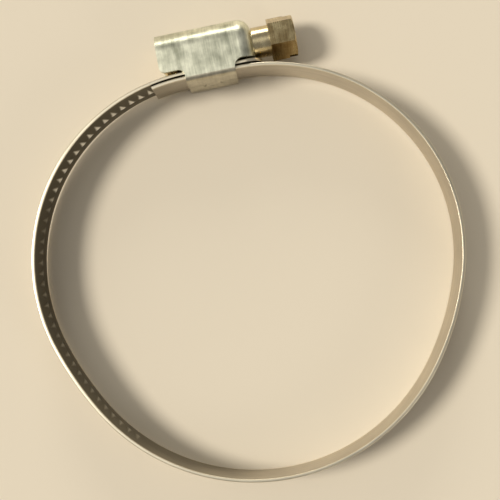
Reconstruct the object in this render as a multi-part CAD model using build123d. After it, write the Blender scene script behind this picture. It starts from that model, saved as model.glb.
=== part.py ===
from build123d import *
from math import atan, cos, degrees, pi, radians, sin, sqrt
import os

# Worm-drive hose clamp: a stamped steel band, a housing folded from one sheet, and a worm screw.
# The hose axis is Z and the origin is the centre of the circle that the clamp closes on, at mid-width of
# the band. The housing sits at +Y and the screw lies along X with its head at +X. All sizes are in mm.

# Band: one strip, from the plain end under the housing, round the hose, to the stamped free end.
hose_radius = 36.0
band_width = 9.0
band_thickness = 0.6
flat_half_length = 4.6
seat_turn_right = 52.0
seat_turn_left = 60.0
shoulder_turn_right = 108.0
shoulder_turn_left = 108.0
tongue_length = 6.4
tail_reach = 9.6
tail_corner_radius = 3.0
tail_margin = 1.5
layer_gap = 0.25

# Marks stamped across the band: each is a groove outside and a three-sided rib inside.
mark_count = 50
mark_spacing = 2.0
groove_depth = 0.45
groove_length = 5.4
groove_straight_length = 2.6
groove_width = 1.2
groove_root_width = 0.75
rib_height = 0.18
rib_point_reach = 2.4
rib_base_reach = 1.8
rib_width = 1.35
rib_lean_width = 0.45
mark_overlap = 0.05

# Housing: one folded sheet with a strap under the band.
sheet = 0.7
strap_gap = 0.05
side_gap = 0.15
strap_half_length = 4.55
strap_fold_radius = 1.0
hood_clearance = 0.25
wing_length = 4.35
wing_corner_radius = 1.0
wing_fillet = 1.1
nose_length = 3.95
nose_arch_radius = 1.5
nose_round = 2.4
shoulder_radius = 3.0
roof_radius = 6.5
seam_width = 0.12
seam_key_length = 2.6
seam_key_depth = 1.4
seam_key_flare = 0.5

# Screw: worm thread, journal, neck and slotted hexagon head.
thread_radius = 3.9
thread_depth = 1.0
thread_engagement = 0.38
thread_clearance = 0.12
thread_crest_width = 0.45
thread_root_width = 1.15
thread_root_sink = 0.2
thread_start = -8.0
thread_turns = 6.75
journal_radius = 2.45
journal_clearance = 0.05
end_play = 0.1
neck_radius = 2.85
neck_length = 3.1
head_across_flats = 7.0
head_length = 4.7
head_chamfer = 0.5
head_turn = 3.5
driver_slot_width = 1.1
driver_slot_depth = 1.6
tip_chamfer = 0.7
shoulder_chamfer = 0.4

# Levels above the hose axis, from the strap outwards.
layer_step = band_thickness + layer_gap
fixed_level = hose_radius + sheet + strap_gap + band_thickness / 2
free_level = fixed_level + layer_step
free_top = free_level + band_thickness / 2
seat_radius = hose_radius + rib_height + band_thickness / 2
screw_level = free_top - thread_engagement + thread_radius
roof_level = screw_level + thread_radius + thread_clearance + sheet
half_width = band_width / 2 + side_gap + sheet
nose_end = strap_half_length + nose_length
lead_angle = degrees(atan(mark_spacing / (2 * pi * thread_radius)))


def side_arcs(level, shoulder_turn, seat_turn):
    """Radii and centres of the two arcs that lead tangentially from the flat at `level` to the seat arc.

    Worked out for the +X side: the first arc starts at the flat's end, the second ends on the seat arc.
    """
    a = radians(shoulder_turn)
    b = radians(180 - seat_turn)
    right_x = seat_radius * sin(b) - flat_half_length
    right_y = seat_radius * cos(b) - level
    m11, m12 = sin(a), sin(b) - sin(a)
    m21, m22 = cos(a) - 1, cos(b) - cos(a)
    determinant = m11 * m22 - m12 * m21
    shoulder = (right_x * m22 - m12 * right_y) / determinant
    side = (m11 * right_y - m21 * right_x) / determinant
    shoulder_centre = Vector(flat_half_length, level - shoulder)
    side_centre = shoulder_centre + Vector(sin(a), cos(a)) * (shoulder - side)
    return shoulder, shoulder_centre, side, side_centre


def mirrored(point):
    """The same point on the other side of the housing."""
    return Vector(-point.X, point.Y)


shoulder_right, shoulder_right_at, side_right, side_right_at = side_arcs(
    fixed_level, shoulder_turn_right, seat_turn_right
)
shoulder_left, shoulder_left_at, side_left, side_left_at = side_arcs(
    free_level, shoulder_turn_left, seat_turn_left
)
shoulder_left_at = mirrored(shoulder_left_at)
side_left_at = mirrored(side_left_at)
tongue_radius = shoulder_left - layer_step
tongue_turn = degrees(tongue_length / tongue_radius)


def band_line(offset):
    """The band's run, `offset` outside its centre line, from the tongue's tip clockwise to the tail."""
    flat_left = Vector(-flat_half_length, fixed_level + offset)
    flat_right = Vector(flat_half_length, fixed_level + offset)
    tail_left = Vector(-flat_half_length, free_level + offset)
    tail_tip = Vector(tail_reach, free_level + offset)
    seat_start = -90 - seat_turn_left
    side_start = seat_turn_right - 90
    return [
        CenterArc(shoulder_left_at, tongue_radius + offset, 90, tongue_turn),
        Line(flat_left, flat_right),
        CenterArc(
            shoulder_right_at, shoulder_right + offset, 90 - shoulder_turn_right, shoulder_turn_right
        ),
        CenterArc(
            side_right_at, side_right + offset, side_start, 180 - shoulder_turn_right - seat_turn_right
        ),
        CenterArc((0, 0), seat_radius + offset, seat_start, seat_turn_left + seat_turn_right),
        CenterArc(
            side_left_at,
            side_left + offset,
            90 + shoulder_turn_left,
            180 - shoulder_turn_left - seat_turn_left,
        ),
        CenterArc(shoulder_left_at, shoulder_left + offset, 90, shoulder_turn_left),
        Line(tail_left, tail_tip),
    ]


def mark_places():
    """Planes on the band's centre line, one for each mark: X runs towards the tail and Z points outwards."""
    seat_arc, left_side, left_shoulder, free_flat = band_line(0)[4:]
    last_x = int((tail_reach - tail_margin) / mark_spacing) * mark_spacing
    places = []
    for index in range(mark_count):
        travelled = tail_reach - last_x + index * mark_spacing
        for run in (free_flat, left_shoulder, left_side, seat_arc):
            if travelled < run.length:
                break
            travelled -= run.length
        share = travelled / run.length
        if run is free_flat:
            point, towards_tail = run @ (1 - share), run % (1 - share)
        else:
            point, towards_tail = run @ share, (run % share) * -1
        outwards = Vector(-towards_tail.Y, towards_tail.X)
        places.append(Plane(origin=point, x_dir=towards_tail, z_dir=outwards))
    return places


def stamped_wedge(outline, lean_width, height):
    """A flat-topped wedge that rises along Z and whose faces lean in by `lean_width` on the way."""
    wedge = extrude(make_face(outline), height, taper=degrees(atan(lean_width / height)))
    return wedge.rotate(Axis.Z, -lead_angle)


def make_rib():
    """The rib inside a mark, which points to the band's +Z edge."""
    outline = Polyline(
        (-rib_width / 2, rib_base_reach),
        (0, -rib_point_reach),
        (rib_width / 2, rib_base_reach),
        close=True,
    )
    rib = stamped_wedge(outline, rib_lean_width, rib_height + mark_overlap)
    return Pos(0, 0, mark_overlap - band_thickness / 2) * mirror(rib, Plane.XY)


def make_groove():
    """The groove outside a mark, which the worm thread runs in."""
    outline = Polyline(
        (0, groove_length / 2),
        (-groove_width / 2, groove_straight_length / 2),
        (-groove_width / 2, -groove_straight_length / 2),
        (0, -groove_length / 2),
        (groove_width / 2, -groove_straight_length / 2),
        (groove_width / 2, groove_straight_length / 2),
        close=True,
    )
    lean_width = (groove_width - groove_root_width) / 2
    groove = stamped_wedge(outline, lean_width, groove_depth + mark_overlap)
    return Pos(0, 0, mark_overlap + band_thickness / 2) * mirror(groove, Plane.XY)


def make_band():
    """The strip bent to its run, with rounded tail corners and the row of stamped marks."""
    outer = band_line(band_thickness / 2)
    inner = band_line(-band_thickness / 2)
    tongue_end = Line(outer[0] @ 1, inner[0] @ 1)
    tail_end = Line(outer[-1] @ 1, inner[-1] @ 1)
    strip = extrude(make_face(outer + inner + [tongue_end, tail_end]), band_width)
    strip = Pos(0, 0, -band_width / 2) * strip
    tail_edges = [
        e
        for e in strip.edges().filter_by(Axis.Y)
        if abs(e.center().X - tail_reach) < 0.01 and e.center().Y > free_level - band_thickness
    ]
    strip = fillet(tail_edges, tail_corner_radius)
    places = mark_places()
    rib = make_rib()
    groove = make_groove()
    strip = strip + [place * rib for place in places]
    strip = strip - [place * groove for place in places]
    return strip


def housing_section():
    """The housing seen along the screw: strap below, a wall at each edge of the band, arched roof above."""
    height = roof_level - hose_radius
    block = Pos(0, hose_radius + height / 2) * Rectangle(2 * half_width, height)
    arch = Pos(0, roof_level - roof_radius) * Circle(roof_radius)
    skirt = Pos(0, roof_level - roof_radius - height / 2) * Rectangle(2 * half_width, height)
    outline = block & (arch + skirt)
    folds = outline.vertices().group_by(Axis.Y)[0]
    outline = fillet(folds, strap_fold_radius)
    shoulders = outline.vertices().group_by(Axis.Y)[-1]
    return fillet(shoulders, shoulder_radius)


def along_screw(sketch, start, end):
    """Extrude a cross-section, drawn with X across the band and Y outwards, from `start` to `end` in X."""
    plane = Plane(origin=(start, 0, 0), x_dir=(0, 0, -1), z_dir=(1, 0, 0))
    return extrude(plane * sketch, end - start)


def hood(sketch, start, end, end_round):
    """The part of the housing above the band, with a rounded nose at the screw's head."""
    above = Pos(0, free_top + hood_clearance + roof_level) * Rectangle(4 * half_width, 2 * roof_level)
    solid = along_screw(sketch & above, start, end)
    rim = solid.faces().sort_by(Axis.X)[-1].edges()
    base = rim.sort_by(Axis.Y)[0]
    return fillet([e for e in rim if e != base], end_round)


def make_housing():
    """The folded sheet: hood with nose and wings, strap under the band, journal hole and seam."""
    outside = housing_section()
    inside = offset(outside, amount=-sheet)
    wing_end = -strap_half_length - wing_length
    strap = along_screw(outside, -strap_half_length, strap_half_length)
    shell = strap + hood(outside, wing_end, nose_end, nose_round)
    shell -= along_screw(inside, -strap_half_length, strap_half_length)
    shell -= hood(inside, wing_end, nose_end - sheet, nose_round - sheet)
    base_level = free_top + hood_clearance

    def sheet_edges(x):
        """The short edges across the sheet where the hood's lower edge ends at `x`."""
        return [
            e
            for e in shell.edges().filter_by(Axis.Z)
            if abs(e.center().X - x) < 0.01
            and abs(e.center().Y - base_level) < 0.01
            and e.length < 2 * sheet
        ]

    shell = fillet(sheet_edges(-strap_half_length), wing_fillet)
    shell = fillet(sheet_edges(strap_half_length), nose_arch_radius)
    shell = fillet(sheet_edges(wing_end), wing_corner_radius)
    journal_hole = Plane(origin=(nose_end, screw_level, 0), z_dir=(1, 0, 0))
    shell -= journal_hole * Cylinder(journal_radius + journal_clearance, 4 * sheet)
    return shell - strap_seam()


def strap_seam():
    """The gap where the sheet's two ends meet under the band, keyed together by a dovetail."""
    half_key = seam_key_length / 2
    line = Polyline(
        (-2 * strap_half_length, 0),
        (-half_key, 0),
        (-half_key - seam_key_flare, seam_key_depth),
        (half_key + seam_key_flare, seam_key_depth),
        (half_key, 0),
        (2 * strap_half_length, 0),
    )
    slit = trace(line, seam_width)
    plane = Plane(origin=(0, hose_radius, 0), x_dir=(1, 0, 0), z_dir=(0, 1, 0))
    return extrude(plane * slit, amount=sheet, both=True)


def make_screw():
    """The screw, drawn with its axis along Z and then laid along X over the band."""
    base = (Align.CENTER, Align.CENTER, Align.MIN)
    root_radius = thread_radius - thread_depth
    thread_length = thread_turns * mark_spacing
    shoulder = nose_end - sheet - end_play
    neck_start = nose_end + end_play
    head_start = neck_start + neck_length
    tip = thread_start - thread_root_width / 2
    shank = Pos(0, 0, tip) * Cylinder(root_radius, shoulder - tip, align=base)
    shank = chamfer(shank.edges().sort_by(Axis.Z)[0], tip_chamfer)
    shank = chamfer(shank.edges().sort_by(Axis.Z)[-1], shoulder_chamfer)
    ridge = Polyline(
        (root_radius - thread_root_sink, 0, -thread_root_width / 2),
        (thread_radius, 0, -thread_crest_width / 2),
        (thread_radius, 0, thread_crest_width / 2),
        (root_radius - thread_root_sink, 0, thread_root_width / 2),
        close=True,
    )
    path = Helix(mark_spacing, thread_length, root_radius)
    worm = sweep(make_face(ridge), path, is_frenet=True)
    worm = Pos(0, 0, thread_start) * worm
    journal_length = neck_start - shoulder + 2 * sheet
    journal = Pos(0, 0, shoulder - sheet) * Cylinder(journal_radius, journal_length, align=base)
    neck = Pos(0, 0, neck_start) * Cylinder(neck_radius, neck_length, align=base)
    screw = shank + worm + journal + neck + Pos(0, 0, head_start) * make_head()
    return Plane(origin=(0, screw_level, 0), x_dir=(0, -1, 0), z_dir=(1, 0, 0)) * screw


def make_head():
    """A hexagon with its outer end chamfered to the corner circle, and a slot for a flat driver."""
    corner_radius = head_across_flats / sqrt(3)
    base = (Align.CENTER, Align.CENTER, Align.MIN)
    hexagon = extrude(RegularPolygon(head_across_flats / 2, 6, major_radius=False), head_length)
    blank = Cylinder(corner_radius, head_length, align=base)
    blank = chamfer(blank.edges().sort_by(Axis.Z)[-1], head_chamfer / sqrt(3), head_chamfer)
    slot = Pos(0, 0, head_length - driver_slot_depth) * Box(
        3 * corner_radius, driver_slot_width, 2 * driver_slot_depth, align=base
    )
    return Rot(0, 0, -head_turn) * ((hexagon & blank) - slot)


os.makedirs("parts", exist_ok=True)
export_step(make_band(), "parts/band.step")
export_step(make_housing(), "parts/housing.step")
export_step(make_screw(), "parts/screw.step")
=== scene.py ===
import bpy
from math import cos, pi, radians, sin
from mathutils import Matrix, Vector


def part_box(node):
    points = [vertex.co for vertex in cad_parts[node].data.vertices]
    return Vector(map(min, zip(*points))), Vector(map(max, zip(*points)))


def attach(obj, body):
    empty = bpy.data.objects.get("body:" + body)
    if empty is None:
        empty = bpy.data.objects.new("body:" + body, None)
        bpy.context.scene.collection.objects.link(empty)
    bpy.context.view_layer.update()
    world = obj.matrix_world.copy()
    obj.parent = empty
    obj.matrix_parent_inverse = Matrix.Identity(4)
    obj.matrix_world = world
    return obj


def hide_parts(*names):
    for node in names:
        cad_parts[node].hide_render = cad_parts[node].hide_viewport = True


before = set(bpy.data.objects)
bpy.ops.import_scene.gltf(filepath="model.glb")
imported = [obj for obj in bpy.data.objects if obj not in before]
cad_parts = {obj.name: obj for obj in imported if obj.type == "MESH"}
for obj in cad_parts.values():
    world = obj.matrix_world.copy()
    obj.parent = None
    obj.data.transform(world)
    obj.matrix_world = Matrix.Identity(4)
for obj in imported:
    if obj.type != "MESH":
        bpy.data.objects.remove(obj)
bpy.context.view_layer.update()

# The view: a camera that looks down on the clamp as it lies on its side, almost straight along the hose
# axis. It is rolled so that the screw points to the right and a little upwards.
mm = 0.001
scene = bpy.context.scene
scene.view_settings.view_transform = "Standard"
camera_at = Vector((5.4, -3.2, 172.0)) * mm
looks_at = Vector((0.7, 4.3, 4.5)) * mm
roll = radians(11.4)
camera_data = bpy.data.cameras.new("camera")
camera_data.lens = 67.8
camera_data.sensor_width = 36.0
camera_data.clip_start = 0.01
camera_data.clip_end = 20.0
camera = bpy.data.objects.new("camera", camera_data)
scene.collection.objects.link(camera)
backwards = (camera_at - looks_at).normalized()
upwards = backwards.cross(Vector((cos(roll), -sin(roll), 0.0))).normalized()
to_right = upwards.cross(backwards)
turn = Matrix((to_right, upwards, backwards)).transposed().to_4x4()
camera.matrix_world = Matrix.Translation(camera_at) @ turn
scene.camera = camera

# The floor: one wide round sheet of pale paper, which curves up gently far from the clamp. The clamp rests
# on its housing and on the band opposite it, so the sheet leans by half a degree to touch both.
band_low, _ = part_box("band")
housing_low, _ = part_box("housing")
housing_rests_at = 41.0 * mm
hair_gap = 0.02 * mm
lean = (housing_low.z - band_low.z) / (housing_rests_at - band_low.y)
floor_middle = band_low.z - lean * band_low.y - hair_gap
middle_radius, flat_radius, floor_radius, floor_rise = 0.25, 2.0, 12.0, 1.7
floor_sides, curve_rings = 64, 10
rings = [(middle_radius, 0.0), (flat_radius, 0.0)]
for index in range(1, curve_rings + 1):
    share = index / curve_rings
    rings.append((flat_radius + (floor_radius - flat_radius) * share, floor_rise * share * share))
floor_points = []
for radius, rise in rings:
    for side in range(floor_sides):
        angle = 2 * pi * side / floor_sides
        x, y = radius * cos(angle), radius * sin(angle)
        floor_points.append((x, y, floor_middle + lean * y + rise))
floor_faces = [tuple(range(floor_sides))]
for ring in range(len(rings) - 1):
    inner, outer = floor_sides * ring, floor_sides * (ring + 1)
    for side in range(floor_sides):
        after = (side + 1) % floor_sides
        floor_faces.append((inner + side, outer + side, outer + after, inner + after))
floor_mesh = bpy.data.meshes.new("floor")
floor_mesh.from_pydata(floor_points, [], floor_faces)
floor_mesh.shade_smooth()
floor = bpy.data.objects.new("floor", floor_mesh)
scene.collection.objects.link(floor)
paper = bpy.data.materials.new("pale_paper")
paper.use_nodes = True
paper_shader = paper.node_tree.nodes["Principled BSDF"]
paper_shader.inputs["Base Color"].default_value = (0.76, 0.68, 0.55, 1.0)
paper_shader.inputs["Roughness"].default_value = 0.9
paper_shader.inputs["Specular IOR Level"].default_value = 0.1
floor_mesh.materials.append(paper)

# The light: a soft lamp high on the side away from the screw, three weaker ones round it, and a pale room.
# Each lamp has its azimuth, elevation and spread in degrees, its strength and its colour.
lamps = {
    "key": (168.6, 52.0, 16.5, 2.3, (1.0, 0.95, 0.86)),
    "overhead": (165.0, 70.0, 47.0, 0.32, (1.0, 0.98, 0.90)),
    "window": (84.0, 18.0, 22.0, 0.80, (1.0, 0.97, 0.88)),
    "fill": (-48.0, 28.0, 18.0, 0.25, (1.0, 0.94, 0.84)),
}
for name, (azimuth, elevation, spread, strength, colour) in lamps.items():
    data = bpy.data.lights.new(name, "SUN")
    data.angle = radians(spread)
    data.energy = strength
    data.color = colour
    lamp = bpy.data.objects.new(name, data)
    scene.collection.objects.link(lamp)
    level = cos(radians(elevation))
    towards = Vector(
        (cos(radians(azimuth)) * level, sin(radians(azimuth)) * level, sin(radians(elevation)))
    )
    lamp.matrix_world = towards.to_track_quat("Z", "Y").to_matrix().to_4x4()
room = bpy.data.worlds.new("room")
room.use_nodes = True
scene.world = room
room_light = room.node_tree.nodes["Background"]
room_light.inputs["Color"].default_value = (1.0, 0.97, 0.92, 1.0)
room_light.inputs["Strength"].default_value = 0.22

# Band: one long strip of slit steel, rolled into a ring from the plain end under the housing to the free
# end over it. It is stamped for the worm, with a groove outside and a rib inside at each mark, and its slit
# edges are rounder outside than inside. The sizes are in mm.
hose_radius = 36.0
band_width, band_thickness = 9.0, 0.6
edge_round, edge_round_inside = 0.2, 0.06
strap_thickness, strap_gap, layer_gap = 0.7, 0.05, 0.25
flat_half_length = 4.6
seat_turn_right, seat_turn_left = 52.0, 60.0
shoulder_turn = 108.0
tongue_length = 6.4
tail_reach, tail_corner_radius = 9.6, 3.0
mark_count, mark_spacing, first_mark = 50, 2.0, 1.6
thread_radius = 3.9
groove_depth, groove_half_width, groove_flank = 0.45, 0.6, 0.225
groove_straight, groove_half_length = 1.3, 2.7
rib_height, rib_flank, rib_width_share = 0.18, 0.35, 0.19
rib_point, rib_base = 2.3, -1.4
# Painted highlight on the ribs: full up to the first length from the free end, then it fades over the
# second length and loses the given share.
rib_highlight_length, rib_highlight_fade, rib_highlight_lost = 44.0, 8.0, 0.8
# Painted shade on the inside face: full up to the first length from the free end, then fading out over the
# second.
inner_shade_length, inner_shade_fade = 85.0, 45.0
tail_step, mark_step, plain_step, flat_step = 0.1, 0.16, 0.6, 0.5
face_steps, corner_steps = 28, 4
fixed_level = hose_radius + strap_thickness + strap_gap + band_thickness / 2
free_level = fixed_level + band_thickness + layer_gap
seat_radius = hose_radius + rib_height + band_thickness / 2
half_thickness, half_width = band_thickness / 2, band_width / 2


def side_arcs(level, seat_turn):
    """Radii of the shoulder and side arcs that lead from the flat at `level` to the seat arc."""
    side_from = radians(shoulder_turn)
    side_to = radians(180 - seat_turn)
    reach_x = seat_radius * sin(side_to) - flat_half_length
    reach_y = seat_radius * cos(side_to) - level
    shoulder_x, shoulder_y = sin(side_from), cos(side_from) - 1
    side_x, side_y = sin(side_to) - sin(side_from), cos(side_to) - cos(side_from)
    both = shoulder_x * side_y - side_x * shoulder_y
    shoulder_radius = (reach_x * side_y - side_x * reach_y) / both
    side_radius = (shoulder_x * reach_y - shoulder_y * reach_x) / both
    return shoulder_radius, side_radius


class StripLine:
    """The line that the strip follows from its free end: each run goes straight or turns by an angle."""

    def __init__(self, start, heading):
        self.at = Vector(start)
        self.heading = heading
        self.along = 0.0
        self.points = [(self.at.copy(), 0.0)]

    def go(self, length, turn, step):
        count = max(1, round(length / step))
        share = turn / count
        chord = 2 * length / turn * sin(share / 2) if turn else length / count
        for _ in range(count):
            middle = self.heading + share / 2
            self.at = self.at + Vector((cos(middle), sin(middle))) * chord
            self.heading += share
            self.along += length / count
            self.points.append((self.at.copy(), self.along))

    def bend(self, radius, degrees, step):
        self.go(radius * radians(degrees), radians(degrees), step)


shoulder_left, side_left = side_arcs(free_level, seat_turn_left)
shoulder_right, side_right = side_arcs(fixed_level, seat_turn_right)
tongue_radius = shoulder_left - (free_level - fixed_level)
strip = StripLine((tail_reach, free_level), pi)
strip.go(tail_corner_radius, 0.0, tail_step)
strip.go(tail_reach + flat_half_length - tail_corner_radius, 0.0, mark_step)
strip.bend(shoulder_left, shoulder_turn, mark_step)
strip.bend(side_left, 180 - shoulder_turn - seat_turn_left, mark_step)
strip.bend(seat_radius, seat_turn_left, mark_step)
strip.bend(seat_radius, seat_turn_right, plain_step)
strip.bend(side_right, 180 - shoulder_turn - seat_turn_right, plain_step)
strip.bend(shoulder_right, shoulder_turn, plain_step)
strip.go(2 * flat_half_length, 0.0, flat_step)
strip.go(tongue_length, tongue_length / tongue_radius, flat_step)
run_mesh = bpy.data.meshes.new("band_run")
run_mesh.from_pydata(
    [(point.x * mm, point.y * mm, 0.0) for point, _ in strip.points],
    [(index, index + 1) for index in range(len(strip.points) - 1)],
    [],
)
along_run = run_mesh.attributes.new("along", "FLOAT", "POINT")
along_run.data.foreach_set("value", [along * mm for _, along in strip.points])
band = bpy.data.objects.new("band_strip", run_mesh)
scene.collection.objects.link(band)

section_points = []
for side_x, side_y, start, edge in (
    (1, 1, 0, edge_round),
    (-1, 1, 90, edge_round_inside),
    (-1, -1, 180, edge_round_inside),
    (1, -1, 270, edge_round),
):
    for index in range(corner_steps + 1):
        angle = radians(start + 90 * index / corner_steps)
        x = side_x * (half_thickness - edge) + edge * cos(angle)
        y = side_y * (half_width - edge) + edge * sin(angle)
        section_points.append((x * mm, y * mm, 0.0))
    if side_x != side_y:
        for index in range(1, face_steps):
            y = side_x * (half_width - edge_round) * (2 * index / face_steps - 1)
            section_points.append((side_x * half_thickness * mm, y * mm, 0.0))
section_mesh = bpy.data.meshes.new("band_section")
section_mesh.from_pydata(
    section_points,
    [(index, (index + 1) % len(section_points)) for index in range(len(section_points))],
    [],
)
section = bpy.data.objects.new("band_section", section_mesh)
scene.collection.objects.link(section)


class Amount:
    """A number that a node tree works out. Amounts add, subtract and multiply as plain numbers do."""

    def __init__(self, tree, socket):
        self.tree = tree
        self.socket = socket

    def make(self, operation, *others, clamp=False):
        node = self.tree.nodes.new("ShaderNodeMath")
        node.operation = operation
        node.use_clamp = clamp
        for slot, value in enumerate((self, *others)):
            if isinstance(value, Amount):
                self.tree.links.new(value.socket, node.inputs[slot])
            else:
                node.inputs[slot].default_value = value
        return Amount(self.tree, node.outputs[0])

    def __add__(self, other):
        return self.make("ADD", other)

    def __sub__(self, other):
        return self.make("SUBTRACT", other)

    def __rsub__(self, other):
        return self.make("MULTIPLY", -1.0).make("ADD", other)

    def __mul__(self, other):
        return self.make("MULTIPLY", other)

    def __abs__(self):
        return self.make("ABSOLUTE")

    def above(self, other):
        return self.make("GREATER_THAN", other)

    def below(self, other):
        return self.make("LESS_THAN", other)

    def at_least(self, other):
        return self.make("MAXIMUM", other)

    def share_of(self, whole):
        return self.make("DIVIDE", whole, clamp=True)


band_sizes = {
    "Half Width": half_width,
    "Edge Round": edge_round,
    "Corner Radius": tail_corner_radius,
    "Spacing": mark_spacing,
    "First Mark": first_mark,
    "Groove Depth": groove_depth,
    "Groove Half Width": groove_half_width,
    "Groove Straight": groove_straight,
    "Groove Half Length": groove_half_length,
    "Groove Flank": groove_flank,
    "Rib Height": rib_height,
    "Rib Point": rib_point,
    "Rib Base": rib_base,
    "Rib Flank": rib_flank,
    "Rubbed Length": rib_highlight_length,
    "Rubbed Fade": rib_highlight_fade,
    "Dulled Length": inner_shade_length,
    "Dulled Fade": inner_shade_fade,
}
band_settings = {name: size * mm for name, size in band_sizes.items()}
band_settings["Mark Count"] = float(mark_count)
band_settings["Slant"] = -mark_spacing / (2 * pi * thread_radius)
band_settings["Rib Width Share"] = rib_width_share
tree = bpy.data.node_groups.new("stamped_band", "GeometryNodeTree")
tree.interface.new_socket("Geometry", in_out="INPUT", socket_type="NodeSocketGeometry")
tree.interface.new_socket("Geometry", in_out="OUTPUT", socket_type="NodeSocketGeometry")
tree.interface.new_socket("Section", in_out="INPUT", socket_type="NodeSocketObject")
for name in band_settings:
    tree.interface.new_socket(name, in_out="INPUT", socket_type="NodeSocketFloat")
tree.interface.new_socket("Material", in_out="INPUT", socket_type="NodeSocketMaterial")
nodes, links = tree.nodes, tree.links
given = nodes.new("NodeGroupInput")
size = {name: Amount(tree, given.outputs[name]) for name in band_settings}

run_curve = nodes.new("GeometryNodeMeshToCurve")
links.new(given.outputs["Geometry"], run_curve.inputs["Mesh"])
upright = nodes.new("GeometryNodeSetCurveNormal")
upright.mode = "Z_UP"
links.new(run_curve.outputs["Curve"], upright.inputs["Curve"])
section_info = nodes.new("GeometryNodeObjectInfo")
links.new(given.outputs["Section"], section_info.inputs["Object"])
section_curve = nodes.new("GeometryNodeMeshToCurve")
links.new(section_info.outputs["Geometry"], section_curve.inputs["Mesh"])
sweep = nodes.new("GeometryNodeCurveToMesh")
links.new(upright.outputs["Curve"], sweep.inputs["Curve"])
links.new(section_curve.outputs["Curve"], sweep.inputs["Profile Curve"])
sweep.inputs["Fill Caps"].default_value = True

along_node = nodes.new("GeometryNodeInputNamedAttribute")
along_node.data_type = "FLOAT"
along_node.inputs["Name"].default_value = "along"
along = Amount(tree, along_node.outputs["Attribute"])
position = nodes.new("GeometryNodeInputPosition").outputs["Position"]
place = nodes.new("ShaderNodeSeparateXYZ")
links.new(position, place.inputs["Vector"])
across = Amount(tree, place.outputs["Z"])
normal = nodes.new("GeometryNodeInputNormal").outputs["Normal"]
facing = nodes.new("ShaderNodeVectorMath")
facing.operation = "DOT_PRODUCT"
links.new(normal, facing.inputs[0])
links.new(position, facing.inputs[1])
outside = Amount(tree, facing.outputs["Value"]).above(0.0)
inside = 1.0 - outside

# Distance from the middle of the nearest mark, along the slanted row of marks.
half_spacing = size["Spacing"] * 0.5
row = across * size["Slant"] + along - size["First Mark"] + half_spacing
off_centre = abs(row.make("FLOORED_MODULO", size["Spacing"]) - half_spacing)
marked = row.above(0.0) * row.below(size["Spacing"] * size["Mark Count"])

# The groove has straight sides in the middle of the band, then tapers to a point at each end.
past_straight = (abs(across) - size["Groove Straight"]).at_least(0.0)
taper_length = size["Groove Half Length"] - size["Groove Straight"]
narrowed_half = size["Groove Half Width"] * (1.0 - past_straight.make("DIVIDE", taper_length))
groove = (narrowed_half - off_centre).share_of(size["Groove Flank"]) * marked * size["Groove Depth"]

# The rib is a three-sided rise with its point towards the upper edge.
rib_half_width = (size["Rib Point"] - across) * size["Rib Width Share"]
from_rib_edge = (rib_half_width - off_centre).make("MINIMUM", across - size["Rib Base"])
rib_share = from_rib_edge.share_of(size["Rib Flank"]) * marked
stamped_by = rib_share * size["Rib Height"] * inside - groove * outside
shift = nodes.new("ShaderNodeVectorMath")
shift.operation = "SCALE"
links.new(normal, shift.inputs[0])
links.new(stamped_by.socket, shift.inputs["Scale"])

# Masks for painted light: a painted highlight on the ribs that fades past a length from the free end,
# painted shade on the inside face, and a painted highlight on the slit edges.
past_rib_highlight = (along - size["Rubbed Length"]).share_of(size["Rubbed Fade"])
past_inner_shade = (along - size["Dulled Length"]).share_of(size["Dulled Fade"])
swept = sweep.outputs["Mesh"]
for name, value in (
    ("rib", rib_share * inside * (1.0 - past_rib_highlight * rib_highlight_lost)),
    ("dulled", (1.0 - past_inner_shade) * inside),
    ("slit_edge", abs(across).above(size["Half Width"] - size["Edge Round"])),
):
    store = nodes.new("GeometryNodeStoreNamedAttribute")
    store.data_type = "FLOAT"
    store.inputs["Name"].default_value = name
    links.new(swept, store.inputs["Geometry"])
    links.new(value.socket, store.inputs["Value"])
    swept = store.outputs["Geometry"]
stamp = nodes.new("GeometryNodeSetPosition")
links.new(swept, stamp.inputs["Geometry"])
links.new(shift.outputs["Vector"], stamp.inputs["Offset"])

# The free end's two corners are cut round.
radius = size["Corner Radius"]
from_corner = (radius - along).at_least(0.0)
chord = (radius * radius - from_corner * from_corner).at_least(0.0).make("SQRT")
width_share = 1.0 - (radius - chord).make("DIVIDE", size["Half Width"])
narrowed = nodes.new("ShaderNodeCombineXYZ")
links.new(place.outputs["X"], narrowed.inputs["X"])
links.new(place.outputs["Y"], narrowed.inputs["Y"])
links.new((across * width_share).socket, narrowed.inputs["Z"])
round_tail = nodes.new("GeometryNodeSetPosition")
links.new(stamp.outputs["Geometry"], round_tail.inputs["Geometry"])
links.new(narrowed.outputs["Vector"], round_tail.inputs["Position"])
smooth = nodes.new("GeometryNodeSetShadeSmooth")
links.new(round_tail.outputs["Geometry"], smooth.inputs["Geometry"])
whole = nodes.new("GeometryNodeRealizeInstances")
links.new(smooth.outputs["Geometry"], whole.inputs["Geometry"])
dressed = nodes.new("GeometryNodeSetMaterial")
links.new(whole.outputs["Geometry"], dressed.inputs["Geometry"])
links.new(given.outputs["Material"], dressed.inputs["Material"])
result = nodes.new("NodeGroupOutput")
links.new(dressed.outputs["Geometry"], result.inputs["Geometry"])

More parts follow.
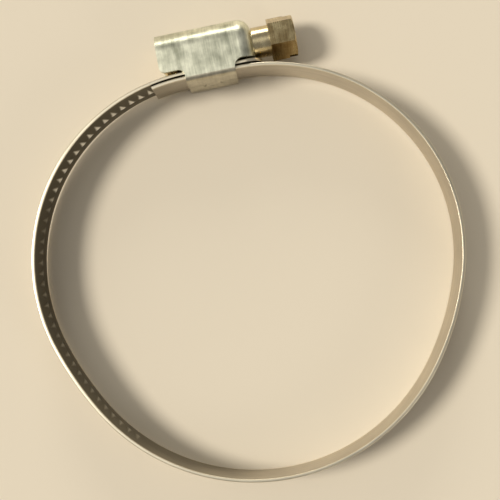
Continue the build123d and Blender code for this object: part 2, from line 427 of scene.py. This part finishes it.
# All three metals share one group: the fine parallel grain, broader streaks along it, and dull patches
# that handling leaves.
grain_group = bpy.data.node_groups.new("metal_grain", "ShaderNodeTree")
for name, kind, value in (
    ("Across", "NodeSocketVector", (1.0, 1.0, 1.0)),
    ("Fineness", "NodeSocketFloat", 1.0),
    ("Patch Size", "NodeSocketFloat", 300.0),
):
    socket = grain_group.interface.new_socket(name, in_out="INPUT", socket_type=kind)
    socket.default_value = value
for name in ("Grain", "Patches", "Streaks"):
    grain_group.interface.new_socket(name, in_out="OUTPUT", socket_type="NodeSocketFloat")
grain_in = grain_group.nodes.new("NodeGroupInput")
grain_out = grain_group.nodes.new("NodeGroupOutput")
object_place = grain_group.nodes.new("ShaderNodeTexCoord").outputs["Object"]
stretched = grain_group.nodes.new("ShaderNodeVectorMath")
stretched.operation = "MULTIPLY"
grain_group.links.new(object_place, stretched.inputs[0])
grain_group.links.new(grain_in.outputs["Across"], stretched.inputs[1])
fineness = Amount(grain_group, grain_in.outputs["Fineness"])
streak_share = 0.27
for name, over, scale, detail, noise_roughness in (
    ("Grain", stretched.outputs["Vector"], fineness.socket, 4.0, 0.65),
    ("Patches", object_place, grain_in.outputs["Patch Size"], 3.0, 0.5),
    ("Streaks", stretched.outputs["Vector"], (fineness * streak_share).socket, 2.0, 0.5),
):
    noise = grain_group.nodes.new("ShaderNodeTexNoise")
    noise.inputs["Detail"].default_value = detail
    noise.inputs["Roughness"].default_value = noise_roughness
    grain_group.links.new(over, noise.inputs["Vector"])
    grain_group.links.new(scale, noise.inputs["Scale"])
    grain_group.links.new(noise.outputs["Fac"], grain_out.inputs[name])


def grained_metal(name, pale, dark, across, fineness, patch_size, roughness, relief):
    """A metal whose colour, roughness and surface follow its grain and patches."""
    grain_weight, patch_weight, streak_weight, blend_start = 0.9, 1.8, 0.9, 1.3
    patch_roughness, grain_roughness = 0.16, 0.14
    material = bpy.data.materials.new(name)
    material.use_nodes = True
    metal_tree = material.node_tree
    shader = metal_tree.nodes["Principled BSDF"]
    shader.inputs["Metallic"].default_value = 1.0
    grain_node = metal_tree.nodes.new("ShaderNodeGroup")
    grain_node.node_tree = grain_group
    grain_node.inputs["Across"].default_value = across
    grain_node.inputs["Fineness"].default_value = fineness
    grain_node.inputs["Patch Size"].default_value = patch_size
    grain, patches, streaks = (
        Amount(metal_tree, grain_node.outputs[output]) for output in ("Grain", "Patches", "Streaks")
    )
    blend = grain * grain_weight + patches * patch_weight + streaks * streak_weight
    blend = blend.make("SUBTRACT", blend_start, clamp=True)
    colours = metal_tree.nodes.new("ShaderNodeMix")
    colours.data_type = "RGBA"
    metal_tree.links.new(blend.socket, colours.inputs["Factor"])
    colours.inputs["A"].default_value = (*dark, 1.0)
    colours.inputs["B"].default_value = (*pale, 1.0)
    metal_tree.links.new(colours.outputs["Result"], shader.inputs["Base Color"])
    smoothest = roughness - (patch_roughness + grain_roughness) / 2
    rough = patches * patch_roughness + grain * grain_roughness + smoothest
    metal_tree.links.new(rough.socket, shader.inputs["Roughness"])
    bump = metal_tree.nodes.new("ShaderNodeBump")
    bump.inputs["Strength"].default_value = 1.0
    bump.inputs["Distance"].default_value = relief
    metal_tree.links.new(grain.socket, bump.inputs["Height"])
    metal_tree.links.new(bump.outputs["Normal"], shader.inputs["Normal"])
    return material


def tint(material, mask, colour, strength):
    """Lays a colour over the base colour of the material where the mask is high."""
    shader = material.node_tree.nodes["Principled BSDF"]
    below = shader.inputs["Base Color"].links[0].from_socket
    layer = material.node_tree.nodes.new("ShaderNodeMix")
    layer.data_type = "RGBA"
    amount = mask.make("MULTIPLY", strength, clamp=True)
    material.node_tree.links.new(amount.socket, layer.inputs["Factor"])
    material.node_tree.links.new(below, layer.inputs["A"])
    layer.inputs["B"].default_value = (*colour, 1.0)
    material.node_tree.links.new(layer.outputs["Result"], shader.inputs["Base Color"])


def stored_mask(material, name):
    """The mask that the mesh carries under this name."""
    attribute = material.node_tree.nodes.new("ShaderNodeAttribute")
    attribute.attribute_name = name
    return Amount(material.node_tree, attribute.outputs["Fac"])


rolled_steel = grained_metal(
    "rolled_steel",
    pale=(0.60, 0.54, 0.44),
    dark=(0.40, 0.35, 0.27),
    across=(1.0, 1.0, 22.0),
    fineness=260.0,
    patch_size=120.0,
    roughness=0.34,
    relief=0.006 * mm,
)
# The ribs are also made rougher and less metallic, so that their painted pale colour shows.
rib_roughness, rib_metal_lost = 0.4, 0.8
inner_shade_mask, rib_highlight_mask, edge_highlight_mask = (
    stored_mask(rolled_steel, name) for name in ("dulled", "rib", "slit_edge")
)
# Painted shade: the inside face of the band is coloured nearly black.
tint(rolled_steel, inner_shade_mask, colour=(0.10, 0.08, 0.035), strength=0.92)
# Painted highlight: the ribs are coloured pale.
tint(rolled_steel, rib_highlight_mask, colour=(1.0, 0.95, 0.84), strength=1.6)
# Painted highlight: the slit edges of the band are coloured pale.
tint(rolled_steel, edge_highlight_mask, colour=(0.90, 0.82, 0.64), strength=0.8)
steel_shader = rolled_steel.node_tree.nodes["Principled BSDF"]
plain_rough = Amount(rolled_steel.node_tree, steel_shader.inputs["Roughness"].links[0].from_socket)
rib_roughened = plain_rough.make("ADD", rib_highlight_mask * rib_roughness, clamp=True)
rolled_steel.node_tree.links.new(rib_roughened.socket, steel_shader.inputs["Roughness"])
rib_metallic = 1.0 - rib_highlight_mask * rib_metal_lost
rolled_steel.node_tree.links.new(rib_metallic.socket, steel_shader.inputs["Metallic"])

band_settings["Section"] = section
band_settings["Material"] = rolled_steel
modifier = band.modifiers.new("stamped_band", "NODES")
modifier.node_group = tree
for item in tree.interface.items_tree:
    if item.in_out == "INPUT" and item.name in band_settings:
        modifier[item.identifier] = band_settings[item.name]
bpy.context.view_layer.update()
depsgraph = bpy.context.evaluated_depsgraph_get()
finished = bpy.data.meshes.new_from_object(band.evaluated_get(depsgraph))
band.modifiers.clear()
band.data = finished
bpy.data.objects.remove(section)
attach(band, "clamp")
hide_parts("band")

# Housing: one sheet of steel folded round the band and the screw, and closed under the band. It is brushed
# across its length and plated a pale greenish silver, and the strap inside the ring is coloured brown as
# painted reflection and shade.
strap_top = 36.9


def place_on(material):
    """Where a point of the piece lies, as three amounts."""
    place_tree = material.node_tree
    apart = place_tree.nodes.new("ShaderNodeSeparateXYZ")
    place_tree.links.new(
        place_tree.nodes.new("ShaderNodeTexCoord").outputs["Object"], apart.inputs["Vector"]
    )
    return [Amount(place_tree, apart.outputs[axis]) for axis in ("X", "Y", "Z")]


plated_sheet = grained_metal(
    "plated_sheet",
    pale=(0.92, 0.92, 0.75),
    dark=(0.40, 0.41, 0.31),
    across=(16.0, 1.0, 1.0),
    fineness=300.0,
    patch_size=420.0,
    roughness=0.38,
    relief=0.014 * mm,
)
strap_shade_and_reflection = place_on(plated_sheet)[1].below(strap_top * mm)
# Painted reflection and shade: the strap inside the ring is coloured brown.
tint(plated_sheet, strap_shade_and_reflection, colour=(0.42, 0.34, 0.25), strength=0.55)
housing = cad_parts["housing"]
housing.data.materials.clear()
housing.data.materials.append(plated_sheet)

# Screw: turned and rolled from one bar of steel and plated with yellow zinc. The neck and the thread are
# coloured paler than the head as a painted highlight. Its journal turns in the housing's nose.
head_start = 11.7
yellow_zinc = grained_metal(
    "yellow_zinc",
    pale=(0.74, 0.62, 0.36),
    dark=(0.30, 0.20, 0.08),
    across=(14.0, 1.0, 1.0),
    fineness=300.0,
    patch_size=420.0,
    roughness=0.25,
    relief=0.008 * mm,
)
highlight_before_head = place_on(yellow_zinc)[0].below(head_start * mm)
# Painted highlight: the neck and the thread are coloured paler than the head.
tint(yellow_zinc, highlight_before_head, colour=(0.95, 0.85, 0.58), strength=0.4)
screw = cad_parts["screw"]
screw.data.materials.clear()
screw.data.materials.append(yellow_zinc)
